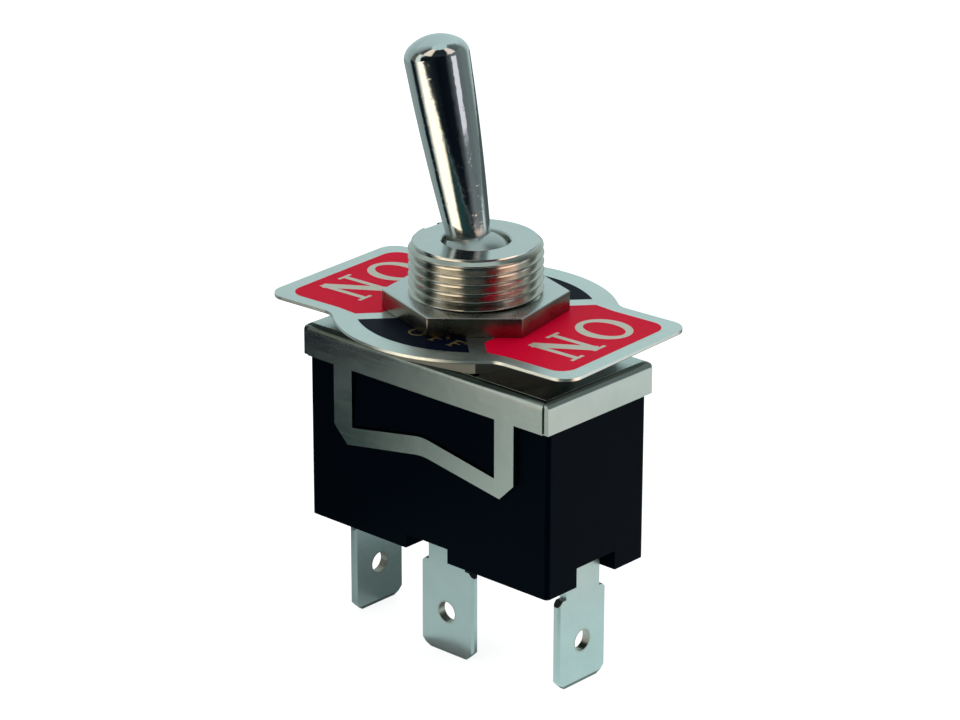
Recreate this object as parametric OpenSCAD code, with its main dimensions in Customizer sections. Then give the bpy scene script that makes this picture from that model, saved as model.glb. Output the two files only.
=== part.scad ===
/* [Housing] */
// Length of the moulded housing below the frame
housing_l = 28.4; // [24:0.1:34]
// Width of the moulded housing
housing_w = 12.85; // [12:0.05:16]
// Height of the moulded housing
housing_h = 17.6; // [16.5:0.1:24]
// Thickness of the two end walls
end_wall = 1.4; // [1:0.05:2]
// Thickness of the two long walls
side_wall = 1.4; // [1:0.05:1.8]
// Rounding of the upright edges
housing_edge_r = 0.4; // [0.2:0.05:1]
// Width of the notch across the foot, for the common terminal
mid_notch_w = 5; // [4.6:0.1:7]
// Height of the notch across the foot
mid_notch_h = 1.35; // [0.8:0.05:2.5]
// Width of the notch in each end of the foot
end_notch_w = 5.1; // [4.6:0.1:8]
// Height of the notch in each end of the foot
end_notch_h = 1.8; // [0.8:0.05:2.5]
// Length of a guide rib on the inside of the long walls
rib_w = 1.2; // [0.8:0.1:2]
// Distance of the guide ribs from the middle
rib_x = 4.4; // [3.8:0.1:6]
// How far a guide rib stands out of the wall
rib_d = 1.5; // [0.5:0.1:1.6]
// Height of a guide rib over the floor
rib_h = 5; // [3:0.5:7]
// Rounding of the upright corners inside
cavity_edge_r = 0.6; // [0.2:0.1:1]
// How far each end of the housing stands out under the frame's skirt
end_step = 0.25; // [0.1:0.05:0.5]

/* [Frame and insulator] */
// Sheet thickness of the frame
frame_t = 0.5; // [0.4:0.05:0.8]
// Outside radius of the frame's bends
frame_bend_r = 0.75; // [0.6:0.05:1.2]
// Depth of the skirts
skirt_h = 3; // [2:0.1:4]
// Gap left open at each corner between two skirts
corner_gap = 0.08; // [0.05:0.01:0.4]
// How far an end skirt stops short of the corner it laps
corner_step = 0.15; // [0.05:0.05:0.4]
// Width of the windowed latch tab
latch_w = 21.4; // [16:0.1:23]
// Width of the latch tab's legs
latch_leg = 2.2; // [1.5:0.1:3]
// Depth of the latch tab's lowest corners under the frame's face
latch_drop = 10.25; // [8:0.05:11.5]
// Height of the bar under the window
latch_bar = 1.75; // [1.2:0.05:2.5]
// How far the bar rises to the middle
latch_rise = 1.5; // [0.5:0.05:2.5]
// Chamfer of the tab's lower corners
latch_chamfer = 1.6; // [0.5:0.1:2.2]
// Rounding where the bar turns in the middle
latch_peak_r = 5; // [2:0.5:8]
// Thickness of the fibre insulator under the frame
insulator_t = 0.4; // [0.2:0.05:0.8]
// How far the insulator's edge keeps inside the housing's
insulator_inset = 0.2; // [0.1:0.05:0.25]
// How far the latch wedge stands out of the housing at its foot
wedge_d = 0.5; // [0.3:0.05:0.6]
// How far the latch wedge stands out of the housing at its top
wedge_top_d = 0.12; // [0.05:0.01:0.25]

/* [Bushing and panel hardware] */
// Outside diameter of the thread
thread_d = 11.9; // [11.5:0.05:13]
// How much smaller the bushing stands where the nuts' threads engage it
thread_sink = 0.5; // [0.4:0.05:0.6]
// Height of the bushing over the frame
bushing_h = 9.5; // [8.5:0.1:14]
// Chamfer at the bushing's top edge
bushing_chamfer = 0.45; // [0.2:0.05:0.8]
// Diameter of the opening in the bushing's lip
lip_d = 6; // [5.9:0.05:7]
// Diameter of the staked spigot through the frame
spigot_d = 10.2; // [9.9:0.05:10.6]
// Width of the staked lip under the frame
stake_w = 0.35; // [0.2:0.05:0.4]
// Width of the keyway
keyway_w = 1.9; // [1.5:0.1:2.5]
// Depth of the keyway
keyway_d = 0.8; // [0.4:0.05:0.9]
// Width across the flats of both nuts
nut_af = 14.3; // [13.8:0.1:17]
// Thickness of each nut
nut_h = 1.8; // [1.5:0.1:2.4]
// Angle of the chamfer on the nuts' corners
nut_chamfer = 30; // [15:1:45]
// How far that chamfer reaches in from the corners
nut_corner_cut = 0.3; // [0.1:0.05:1]
// Turn of the front nut about the bushing
front_nut_turn = 41.5; // [0:0.1:60]
// Turn of the back nut about the bushing
back_nut_turn = 12; // [0:1:60]
// Outside diameter of the lock washer
washer_d = 17.2; // [16:0.1:18]
// Thickness of the lock washer
washer_t = 0.9; // [0.5:0.05:1.2]
// Number of inner teeth on the lock washer
washer_teeth = 12; // [8:1:16]
// Length of the washer's teeth
washer_tooth_l = 1.3; // [0.8:0.05:1.5]

/* [Legend plate] */
// Length of the legend plate over both wings
plate_l = 34; // [28:0.1:44]
// Width of the wings
plate_w = 17.2; // [15:0.1:20]
// Diameter of the round middle
plate_disc_d = 25.2; // [22:0.1:27]
// Thickness of the plate
plate_t = 0.3; // [0.2:0.05:0.8]
// Corner radius of the wings
plate_corner_r = 1.8; // [0.5:0.1:3]
// Fillet between a wing and the round middle
plate_fillet_r = 2; // [0.5:0.1:3]
// Turn of the plate on the bushing
plate_turn = 3; // [-10:0.5:10]

/* [Lever] */
// Height of the lever's pivot over the frame
lever_pivot_z = 6.1; // [5.9:0.05:6.3]
// Full swing of the lever from stop to stop
lever_swing = 27.28; // [20:0.02:28]
// Length from the pivot to the tip
handle_l = 21.5; // [16:0.1:30]
// Largest radius of the bat, where its side would stand upright
handle_r = 2.956; // [2.7:0.002:3.1]
// Distance from the pivot at which the side would stand upright
handle_crest = 25; // [24:0.1:28]
// Radius of the long curve of the bat's side
handle_side_r = 225; // [200:1:400]
// Corner radius of the tip
tip_corner_r = 1.6; // [1:0.05:2.2]
// Radius of the tip's crown
tip_crown_r = 3.8; // [3.5:0.1:8]
// Diameter of the ball
ball_d = 8.2; // [8:0.05:8.3]
// Diameter of the arm under the ball
arm_d = 4.3; // [4.1:0.05:4.5]
// Length of the arm from the pivot
arm_l = 14; // [12:0.1:14.4]
// Distance from the pivot to the top of the arm's bore
arm_bore_top = 3.6; // [3:0.1:5]
// Diameter of the pivot pin
pin_d = 1.5; // [1.2:0.05:1.7]
// Length of the pivot pin
pin_l = 9; // [8.6:0.05:9.3]

/* [Plunger and spring] */
// Diameter of the plunger
plunger_d = 2.8; // [2.4:0.05:2.9]
// Distance from the lever's pivot to the centre of the plunger's round tip
tip_reach = 16.7; // [16.2:0.05:16.9]
// Length of the plunger above the centre of its tip
plunger_l = 6.7; // [5:0.1:8]
// Wire diameter of the spring
spring_wire = 0.4; // [0.3:0.02:0.5]
// Outside diameter of the spring
spring_d = 2.6; // [2.2:0.05:2.75]
// Number of turns in the spring
spring_turns = 8; // [5:1:9]

/* [Rocker and contacts] */
// Sheet thickness of the rocker
rocker_t = 0.8; // [0.6:0.05:1]
// Width of the rocker
rocker_w = 4.4; // [4:0.1:5]
// Length of the rocker beyond the middle of each moving contact
rocker_end = 1.8; // [1.5:0.1:2.2]
// Tilt of the rocker at each end of its travel
rocker_tilt = 8; // [6:0.5:9]
// Height of a wing over the place where the plunger rests on it
wing_lift = 0.3; // [0.1:0.05:0.6]
// Width of the rocker's two pivot lugs
lug_w = 1.2; // [0.9:0.1:1.6]
// Distance of the moving contacts from the housing's ends
contact_inset = 6; // [5.5:0.1:6.4]
// Diameter of all four contact heads
contact_d = 2.8; // [2.4:0.1:3.2]
// Radius of a moving contact's dome
contact_dome_r = 3.2; // [2.6:0.1:6]
// Height of a moving contact's rim
contact_rim_h = 0.25; // [0.1:0.05:0.4]
// How much wider the fixed contacts are than the moving ones
fixed_contact_margin = 0.6; // [0.2:0.1:1]
// Height of a fixed contact over its terminal
fixed_contact_h = 0.6; // [0.4:0.05:0.9]
// Diameter of all rivet shanks
shank_d = 1.6; // [1.2:0.1:1.8]
// Diameter of the closed heads of the rivets
rivet_head_d = 2.6; // [2.2:0.1:3]
// Height of the closed heads of the rivets
rivet_head_h = 0.35; // [0.2:0.05:0.4]

/* [Terminals] */
// Thickness of the terminals and the saddle
tab_t = 0.8; // [0.6:0.05:1]
// Width of a quick-connect tab
tab_w = 6.3; // [5.2:0.1:7]
// Width of a terminal's neck
neck_w = 4.4; // [3.6:0.1:4.6]
// Distance from the housing's foot to a tab's shoulders
shoulder_drop = 1.8; // [1:0.1:3]
// Length of a tab below its shoulders
tab_l = 8.7; // [6:0.05:10]
// Diameter of the hole in a tab
tab_hole_d = 1.95; // [1.4:0.05:2.4]
// Distance from the hole to the tab's lower end
tab_hole_up = 4.1; // [2.5:0.05:5]
// Chamfer of a tab's lower corners
tab_chamfer = 1; // [0.3:0.1:1.6]
// Chamfer of a tab's shoulders
shoulder_chamfer = 0.5; // [0.1:0.1:0.8]
// Bevel along a tab's edges
tab_bevel = 0.2; // [0.05:0.01:0.25]
// Inside radius of the terminals' bends
bend_r = 0.4; // [0.2:0.05:0.6]
// Distance of the common tab's middle plane from the switch's middle
common_y = 3.4; // [3.3:0.05:3.6]
// Length of an outer terminal's shelf beyond its fixed contact
shelf_end = 0.8; // [0.3:0.1:1.5]
// Width of the saddle and of the common terminal's shelf
saddle_w = 5; // [4.4:0.1:6]
// Height of the saddle's ears over the rocker's pivot
ear_top = 1.1; // [0.8:0.1:1.6]
// Gap between the rocker and each ear of the saddle
ear_gap = 0.15; // [0.05:0.05:0.3]
// How far the rocker's lugs stand out of the ears
lug_out = 0.05; // [0:0.05:0.3]

/* [Fits] */
// Clearance of running fits
running_fit = 0.05; // [0.02:0.01:0.08]
// Clearance between pieces that are set in place
seat_fit = 0.05; // [0.02:0.01:0.1]
// Clearance of the latch wedge in its window
latch_fit = 0.25; // [0.15:0.05:0.5]
// Gap of the plunger and the contacts where they rest
touch_gap = 0.02; // [0.01:0.01:0.05]
// Room under the plunger in the middle position
middle_gap = 0.1; // [0.05:0.01:0.3]
// Room round a rivet's head in the housing's floor
pocket_gap = 0.2; // [0.1:0.05:0.4]

/* [Hidden] */
$fn = 64;
eps = 0.01;
overcut = 1;
half_swing = lever_swing / 2;

// Levels, measured from the frame's upper face at z = 0
housing_top = -frame_t - insulator_t;
housing_foot = housing_top - housing_h;
back_nut_z = 0;
washer_z = back_nut_z + nut_h;
plate_z = washer_z + washer_t;
front_nut_z = plate_z + plate_t;
free_thread_z = front_nut_z + nut_h + seat_fit;
engaged_d = thread_d - thread_sink;
shoulder_z = housing_foot - shoulder_drop;
tab_end_z = shoulder_z - tab_l;

// Frame, fitted over the housing
frame_w = housing_w + 2 * seat_fit + 2 * frame_t;
collar_l = housing_l - 2 * end_step;
frame_l = collar_l + 2 * seat_fit + 2 * frame_t;
bend_in_r = frame_bend_r - frame_t;
corner_cut = frame_t + corner_gap;
window_w = latch_w - 2 * latch_leg;
window_top = skirt_h + eps;
window_foot = latch_drop - latch_bar;

// Bushing bore, which fits the ball, and its slots, which fit the pin
ball_r = ball_d / 2;
bore_r = ball_r + running_fit;
pin_slot_w = pin_d + 2 * running_fit;
pin_slot_l = pin_l + 2 * running_fit;
stake_z = -frame_t - insulator_t + seat_fit;
stake_r = spigot_d / 2 + stake_w;

// Where the plunger's tip stands, seen from the rocker's pivot, at the end of the swing
plunger_r = plunger_d / 2;
rocker_pivot_z = lever_pivot_z - tip_reach - plunger_r - middle_gap - rocker_t / 2;
tip_x = tip_reach * sin(half_swing);
tip_z = lever_pivot_z - tip_reach * cos(half_swing) - rocker_pivot_z;
tip_u = tip_x * cos(rocker_tilt) - tip_z * sin(rocker_tilt);
tip_v = tip_x * sin(rocker_tilt) + tip_z * cos(rocker_tilt);
// The wing's slope follows the path of the tip over the tilting rocker
tilt_rate = rocker_tilt / half_swing;
path_u = tip_reach * cos(half_swing + rocker_tilt) - tilt_rate * tip_v;
path_v = tip_reach * sin(half_swing + rocker_tilt) + tilt_rate * tip_u;
wing_slope = atan2(path_v, path_u);
rest_u = tip_u + (plunger_r + touch_gap) * sin(wing_slope);
rest_v = tip_v - (plunger_r + touch_gap) * cos(wing_slope);
trough_u = rest_u - (rest_v - rocker_t / 2) / tan(wing_slope);
wing_v = rest_v + wing_lift;
wing_u = rest_u + wing_lift / tan(wing_slope);
mitre = rocker_t * tan(wing_slope / 2);

// Contacts: the dome's lowest point at full tilt sets the fixed contact's height
contact_x = housing_l / 2 - contact_inset;
rocker_reach = contact_x + rocker_end;
contact_r = contact_d / 2;
fixed_contact_d = contact_d + fixed_contact_margin;
dome_h = contact_dome_r - sqrt(pow(contact_dome_r, 2) - pow(contact_r, 2));
moving_head_h = contact_rim_h + dome_h;
dome_centre_v = wing_v - rocker_t - moving_head_h + contact_dome_r;
closed_x = contact_x * cos(rocker_tilt) + dome_centre_v * sin(rocker_tilt);
closed_v = dome_centre_v * cos(rocker_tilt) - contact_x * sin(rocker_tilt) - contact_dome_r;
fixed_top = rocker_pivot_z + closed_v - touch_gap;
shelf_top = fixed_top - fixed_contact_h;
floor_top = shelf_top - tab_t;

// Terminals and saddle
outer_x = housing_l / 2 - end_wall - seat_fit - tab_t / 2;
outer_bend_x = outer_x - tab_t / 2 - bend_r;
shelf_l = outer_bend_x - closed_x + fixed_contact_d / 2 + shelf_end;
saddle_foot = floor_top;
common_shelf_l = 2 * common_y - tab_t - 2 * bend_r;
common_shelf_y = (tab_t + 2 * bend_r - 2 * common_y + common_shelf_l) / 2;
ear_in = rocker_w / 2 + ear_gap;
ear_out = ear_in + tab_t;
lug_l = 2 * (ear_out + lug_out);
pocket_d = rivet_head_d + 2 * pocket_gap;

// ---- Helpers ----

// A flat outline drawn in X and Z, given a thickness along Y
module upright_xz(t) {
    rotate([90, 0, 0])
        translate([0, 0, -t / 2])
            linear_extrude(t) children();
}

// A flat outline drawn in Y and Z, given a thickness along X
module upright_yz(t) {
    rotate([90, 0, 90])
        translate([0, 0, -t / 2])
            linear_extrude(t) children();
}

// A quarter ring in the first quadrant
module quarter_ring(inner_r, outer_r) {
    intersection() {
        difference() {
            circle(outer_r);
            if (inner_r > 0) circle(inner_r);
        }
        square(outer_r);
    }
}

// A strip that comes up along its leg and turns inwards, drawn from the bend's centre
module elbow(t, leg, shelf, grow = 0) {
    quarter_ring(bend_r - grow, bend_r + t + grow);
    translate([bend_r - grow, -leg])
        square([t + 2 * grow, leg + eps]);
    translate([-shelf - grow, bend_r - grow])
        square([shelf + grow + eps, t + 2 * grow]);
}

// A low roof with a rounded ridge, standing on z = 0
module rounded_roof(half_w, rise, r) {
    slope = atan2(rise, half_w);
    centre_z = rise - r * (1 / cos(slope) - 1) - r;
    polygon([
        [-half_w - 1, -1], [-half_w, 0],
        [-r * sin(slope), centre_z + r * cos(slope)],
        [r * sin(slope), centre_z + r * cos(slope)],
        [half_w, 0], [half_w + 1, -1]
    ]);
    intersection() {
        translate([0, centre_z]) circle(r);
        translate([-r * sin(slope), centre_z])
            square([2 * r * sin(slope), r]);
    }
}

// A rectangle with rounded corners
module rounded_plate(l, w, r) {
    square([l - 2 * r, w], center = true);
    square([l, w - 2 * r], center = true);
    for (x = [-1, 1], y = [-1, 1])
        translate([x * (l / 2 - r), y * (w / 2 - r)]) circle(r);
}

// Seats a shape in the lever's own frame, at rest against one stop
module on_lever() {
    translate([0, 0, lever_pivot_z])
        rotate([0, -half_swing, 0]) children();
}

// Seats a shape in the rocker's own frame, at rest with its +X end down
module on_rocker() {
    translate([0, 0, rocker_pivot_z])
        rotate([0, rocker_tilt, 0]) children();
}

// ---- Housing ----

// The window's outline, smaller by a gap all round
module window_outline(gap) {
    difference() {
        translate([-window_w / 2 + gap, -window_foot + gap])
            square([window_w - 2 * gap, window_foot - window_top - 2 * gap]);
        translate([0, -window_foot + gap])
            rounded_roof(window_w / 2, latch_rise, latch_peak_r);
    }
}

// Wedge on a long wall that latches in the frame's window
module latch_wedge() {
    intersection() {
        translate([0, -housing_w / 2, 0])
            upright_xz(2 * wedge_d) window_outline(latch_fit);
        upright_yz(window_w)
            polygon([
                [-housing_w / 2 + eps, -window_top],
                [-housing_w / 2 - wedge_top_d, -window_top],
                [-housing_w / 2 - wedge_d, -window_foot],
                [-housing_w / 2 + eps, -window_foot]
            ]);
    }
}

// Slot in the floor for an outer terminal, with its shelf's rounded edge
module outer_slot() {
    translate([outer_bend_x, 0, floor_top - bend_r])
        upright_xz(neck_w + 2 * seat_fit)
            elbow(tab_t, housing_h, shelf_l, seat_fit);
}

// Slot and recess in the floor for the common terminal
module common_slot() {
    translate([0, -common_y + tab_t / 2 + bend_r, floor_top - tab_t - bend_r])
        upright_yz(neck_w + 2 * seat_fit)
            mirror([1, 0]) elbow(tab_t, housing_h, common_shelf_l, seat_fit);
    translate([0, common_shelf_y, floor_top])
        cube([saddle_w + 2 * seat_fit, common_shelf_l + 2 * seat_fit, 2 * (tab_t + seat_fit)], center = true);
}

module housing() {
    color([0.05, 0.07, 0.12])
    difference() {
        union() {
            difference() {
                translate([0, 0, housing_foot])
                    linear_extrude(housing_h)
                        rounded_plate(housing_l, housing_w, housing_edge_r);
                for (x = [-1, 1])
                    translate([x * (collar_l / 2 + housing_l / 2), 0, 0])
                        cube([housing_l, 2 * housing_w, 2 * (skirt_h + seat_fit)], center = true);
                translate([0, 0, floor_top])
                    linear_extrude(housing_h)
                        rounded_plate(housing_l - 2 * end_wall, housing_w - 2 * side_wall, cavity_edge_r);
            }
            for (x = [-1, 1], y = [-1, 1])
                translate([x * rib_x, y * (housing_w / 2 - side_wall - rib_d / 2 + eps), floor_top + rib_h / 2])
                    cube([rib_w, rib_d + 2 * eps, rib_h + 2 * eps], center = true);
            for (a = [0, 180])
                rotate([0, 0, a]) latch_wedge();
        }
        for (a = [0, 180])
            rotate([0, 0, a]) {
                outer_slot();
                translate([housing_l / 2, 0, housing_foot])
                    cube([2 * (end_wall + tab_t + 2 * seat_fit), end_notch_w, 2 * end_notch_h], center = true);
                translate([closed_x, 0, floor_top - rivet_head_h - seat_fit])
                    cylinder(d = pocket_d, h = 1);
            }
        common_slot();
        translate([0, 0, housing_foot])
            cube([mid_notch_w, 2 * housing_w, 2 * mid_notch_h], center = true);
        translate([0, 0, floor_top - tab_t - rivet_head_h - seat_fit])
            cylinder(d = pocket_d, h = 1);
    }
}

// ---- Frame ----

// Section through two opposite skirts and the sheet between them
module skirt_section(w, depth) {
    for (side = [0, 1])
        mirror([side, 0]) {
            translate([w / 2 - frame_bend_r, -frame_bend_r])
                quarter_ring(bend_in_r, frame_bend_r);
            translate([w / 2 - frame_t, -depth])
                square([frame_t, depth - frame_bend_r + eps]);
            translate([-eps, -frame_t])
                square([w / 2 - frame_bend_r + 2 * eps, frame_t]);
        }
}

// Windowed tab that hangs from a long skirt
module latch_tab() {
    half = latch_w / 2;
    translate([0, -frame_w / 2 + frame_t / 2, 0])
        upright_xz(frame_t)
            difference() {
                polygon([
                    [-half, -frame_bend_r], [half, -frame_bend_r],
                    [half, -latch_drop + latch_chamfer], [half - latch_chamfer, -latch_drop],
                    [-half + latch_chamfer, -latch_drop], [-half, -latch_drop + latch_chamfer]
                ]);
                translate([0, -latch_drop])
                    rounded_roof(half - latch_chamfer, latch_rise, latch_peak_r);
                window_outline(0);
            }
}

// The end skirts' edges, which lap the ends of the long skirts
module lapped_corners() {
    difference() {
        intersection() {
            upright_xz(frame_w - 2 * corner_step) skirt_section(frame_l, skirt_h);
            upright_yz(frame_l + 2 * eps)
                translate([0, -skirt_h])
                    rounded_plate(frame_w, 2 * skirt_h, frame_bend_r);
        }
        cube([frame_l - 2 * frame_t, 2 * frame_w, 4 * skirt_h], center = true);
    }
}

module frame() {
    color([0.62, 0.64, 0.62])
    difference() {
        union() {
            upright_yz(frame_l - 2 * corner_cut) skirt_section(frame_w, skirt_h);
            upright_xz(frame_w - 2 * corner_cut) skirt_section(frame_l, skirt_h);
            lapped_corners();
            for (a = [0, 180])
                rotate([0, 0, a]) latch_tab();
        }
        translate([0, 0, -frame_t - 1])
            cylinder(d = spigot_d + 2 * seat_fit, h = frame_t + 2);
    }
}

module insulator() {
    l = collar_l - 2 * insulator_inset;
    w = housing_w - 2 * insulator_inset;
    color([0.42, 0.27, 0.16])
    translate([0, 0, housing_top])
        linear_extrude(insulator_t)
            difference() {
                rounded_plate(l, w, housing_edge_r);
                circle(stake_r + 2 * seat_fit);
            }
}

// ---- Bushing and hardware ----

module bushing() {
    r = thread_d / 2;
    color([0.72, 0.70, 0.65])
    difference() {
        union() {
            cylinder(d = engaged_d, h = free_thread_z + eps);
            translate([0, 0, free_thread_z])
                cylinder(r = r, h = bushing_h - bushing_chamfer - free_thread_z);
            translate([0, 0, bushing_h - bushing_chamfer])
                cylinder(r1 = r, r2 = r - bushing_chamfer, h = bushing_chamfer);
            translate([0, 0, stake_z])
                cylinder(d = spigot_d, h = -stake_z + eps);
            translate([0, 0, stake_z])
                cylinder(r = stake_r, h = -frame_t - stake_z);
        }
        translate([0, 0, lever_pivot_z])
            sphere(bore_r);
        translate([0, 0, stake_z - overcut])
            cylinder(r = bore_r, h = lever_pivot_z - stake_z + overcut);
        translate([0, 0, lever_pivot_z])
            cylinder(d = lip_d, h = bushing_h);
        translate([0, 0, lever_pivot_z])
            rotate([90, 0, 0])
                cylinder(d = pin_slot_w, h = pin_slot_l, center = true);
        translate([0, 0, (lever_pivot_z + stake_z - overcut) / 2])
            cube([pin_slot_w, pin_slot_l, lever_pivot_z - stake_z + overcut], center = true);
        translate([-r, 0, bushing_h])
            cube([2 * keyway_d, keyway_w, 2 * bushing_h], center = true);
    }
}

// Hexagon nut with a small chamfer on its corners
module hex_nut() {
    corner_r = nut_af / sqrt(3);
    face_r = corner_r - nut_corner_cut;
    rise = nut_corner_cut * tan(nut_chamfer);
    difference() {
        intersection() {
            cylinder(r = corner_r, h = nut_h, $fn = 6);
            rotate_extrude()
                polygon([
                    [0, 0], [face_r, 0], [corner_r + eps, rise],
                    [corner_r + eps, nut_h - rise], [face_r, nut_h], [0, nut_h]
                ]);
        }
        translate([0, 0, -1])
            cylinder(d = engaged_d + 2 * seat_fit, h = nut_h + 2);
    }
}

module back_nut() {
    color([0.66, 0.66, 0.63])
    translate([0, 0, back_nut_z])
        rotate([0, 0, back_nut_turn]) hex_nut();
}

module front_nut() {
    color([0.70, 0.68, 0.63])
    translate([0, 0, front_nut_z])
        rotate([0, 0, front_nut_turn]) hex_nut();
}

module lock_washer() {
    inner_r = thread_d / 2 + seat_fit;
    root_r = inner_r + washer_tooth_l;
    slot_w = PI * root_r / washer_teeth;
    color([0.6, 0.6, 0.58])
    translate([0, 0, washer_z])
        difference() {
            cylinder(d = washer_d, h = washer_t);
            translate([0, 0, -1])
                cylinder(r = inner_r, h = washer_t + 2);
            for (i = [0 : washer_teeth - 1])
                rotate([0, 0, 360 * i / washer_teeth])
                    translate([root_r / 2, 0, washer_t / 2])
                        cube([root_r, slot_w, washer_t + 2], center = true);
        }
}

module legend_plate() {
    disc_r = plate_disc_d / 2;
    fillet_y = plate_w / 2 + plate_fillet_r;
    fillet_x = sqrt(pow(disc_r + plate_fillet_r, 2) - pow(fillet_y, 2));
    color([0.80, 0.82, 0.82])
    translate([0, 0, plate_z])
        rotate([0, 0, plate_turn])
            linear_extrude(plate_t)
                difference() {
                    union() {
                        rounded_plate(plate_l, plate_w, plate_corner_r);
                        circle(disc_r);
                        for (x = [0, 1], y = [0, 1])
                            mirror([x, 0]) mirror([0, y])
                                difference() {
                                    polygon([[0, 0], [fillet_x, 0], [fillet_x, fillet_y]]);
                                    translate([fillet_x, fillet_y]) circle(plate_fillet_r);
                                }
                    }
                    circle(d = thread_d + 2 * seat_fit);
                }
}

// ---- Lever ----

// Radius of the bat at a distance from the pivot
function bat_r(h) = handle_r - handle_side_r + sqrt(pow(handle_side_r, 2) - pow(handle_crest - h, 2));

// Half profile of the bat, from the pivot to the crowned tip
module handle_profile() {
    corner_x = bat_r(handle_l - tip_corner_r) - tip_corner_r;
    crown_y = handle_l - tip_crown_r;
    reach = tip_crown_r - tip_corner_r;
    corner_y = crown_y + sqrt(pow(reach, 2) - pow(corner_x, 2));
    intersection() {
        union() {
            square([handle_r, corner_y]);
            translate([corner_x, corner_y])
                quarter_ring(0, tip_corner_r);
            intersection() {
                translate([0, crown_y]) circle(tip_crown_r, $fn = 128);
                polygon([
                    [0, corner_y - tip_corner_r],
                    [corner_x, corner_y],
                    [tip_crown_r * corner_x / reach, crown_y + tip_crown_r * (corner_y - crown_y) / reach],
                    [tip_crown_r * corner_x / reach, handle_l],
                    [0, handle_l]
                ]);
            }
        }
        translate([handle_r - handle_side_r, handle_crest])
            circle(handle_side_r, $fn = 720);
    }
}

module lever() {
    color([0.75, 0.77, 0.78])
    on_lever()
        difference() {
            union() {
                rotate_extrude() handle_profile();
                sphere(ball_r);
                translate([0, 0, -arm_l])
                    cylinder(d = arm_d, h = arm_l);
            }
            translate([0, 0, -arm_l - 1])
                cylinder(d = plunger_d + 2 * running_fit, h = arm_l - arm_bore_top + 1);
            rotate([90, 0, 0])
                cylinder(d = pin_d, h = 2 * ball_d, center = true);
        }
}

module lever_pin() {
    color([0.55, 0.56, 0.58])
    on_lever()
        rotate([90, 0, 0])
            cylinder(d = pin_d, h = pin_l, center = true);
}

module plunger() {
    color([0.85, 0.83, 0.76])
    on_lever()
        translate([0, 0, -tip_reach]) {
            cylinder(r = plunger_r, h = plunger_l);
            sphere(plunger_r);
        }
}

// Points of one ring of the spring's wire, at turn t
function wire_ring(t, coil_r, wire_r, length, sides) = [
    for (k = [0 : sides - 1])
        let (a = 360 * t * spring_turns, b = 360 * k / sides)
        [
            (coil_r + wire_r * cos(b)) * cos(a),
            (coil_r + wire_r * cos(b)) * sin(a),
            wire_r + (length - 2 * wire_r) * t + wire_r * sin(b)
        ]
];

// Coil spring standing on z = 0
module coil_spring(length) {
    sides = 8;
    rings = spring_turns * 20;
    wire_r = spring_wire / 2;
    coil_r = (spring_d - spring_wire) / 2;
    points = [
        for (i = [0 : rings]) each wire_ring(i / rings, coil_r, wire_r, length, sides)
    ];
    walls = [
        for (i = [0 : rings - 1], k = [0 : sides - 1])
            let (n = (k + 1) % sides)
            [i * sides + k, (i + 1) * sides + k, (i + 1) * sides + n, i * sides + n]
    ];
    start_cap = [[for (k = [0 : sides - 1]) k]];
    end_cap = [[for (k = [sides - 1 : -1 : 0]) rings * sides + k]];
    polyhedron(points, concat(walls, start_cap, end_cap));
}

module plunger_spring() {
    spring_foot = -tip_reach + plunger_l;
    color([0.6, 0.62, 0.64])
    on_lever()
        translate([0, 0, spring_foot + touch_gap])
            coil_spring(-arm_bore_top - spring_foot - 2 * touch_gap);
}

// ---- Rocker and contacts ----

module rocker() {
    color([0.76, 0.56, 0.28])
    on_rocker()
        difference() {
            union() {
                upright_xz(rocker_w)
                    polygon([
                        [-rocker_reach, wing_v], [-wing_u, wing_v], [-trough_u, rocker_t / 2],
                        [trough_u, rocker_t / 2], [wing_u, wing_v], [rocker_reach, wing_v],
                        [rocker_reach, wing_v - rocker_t], [wing_u + mitre, wing_v - rocker_t],
                        [trough_u + mitre, -rocker_t / 2], [-trough_u - mitre, -rocker_t / 2],
                        [-wing_u - mitre, wing_v - rocker_t], [-rocker_reach, wing_v - rocker_t]
                    ]);
                cube([lug_w, lug_l, rocker_t], center = true);
            }
            for (x = [-1, 1])
                translate([x * contact_x, 0, 0])
                    cylinder(d = shank_d, h = 2 * wing_v);
        }
}

// Moving contact on the +X end, with its dome down and its rivet head up
module moving_contact() {
    color([0.82, 0.82, 0.80])
    on_rocker()
        translate([contact_x, 0, 0]) {
            intersection() {
                translate([0, 0, dome_centre_v]) sphere(contact_dome_r, $fn = 96);
                translate([0, 0, wing_v - rocker_t - moving_head_h])
                    cylinder(r = contact_r, h = moving_head_h);
            }
            translate([0, 0, wing_v - rocker_t - contact_rim_h])
                cylinder(d = shank_d, h = rocker_t + contact_rim_h + eps);
            translate([0, 0, wing_v])
                cylinder(d = rivet_head_d, h = rivet_head_h);
        }
}

module moving_contact_right() {
    moving_contact();
}

// The contact on the raised end, mirrored in the rocker's own frame
module moving_contact_left() {
    on_rocker()
        mirror([1, 0, 0])
            rotate([0, -rocker_tilt, 0])
                translate([0, 0, -rocker_pivot_z]) moving_contact();
}

// A rivet through a stack, standing on the stack's lower face at z = 0
module rivet(stack_t, top_d, top_h) {
    translate([0, 0, -rivet_head_h])
        cylinder(d = rivet_head_d, h = rivet_head_h);
    cylinder(d = shank_d, h = stack_t);
    translate([0, 0, stack_t])
        cylinder(d = top_d, h = top_h);
}

module fixed_contact() {
    color([0.82, 0.82, 0.80])
    translate([closed_x, 0, floor_top])
        rivet(tab_t, fixed_contact_d, fixed_contact_h);
}

module fixed_contact_right() {
    fixed_contact();
}

module fixed_contact_left() {
    mirror([1, 0, 0]) fixed_contact();
}

// ---- Terminals ----

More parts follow.
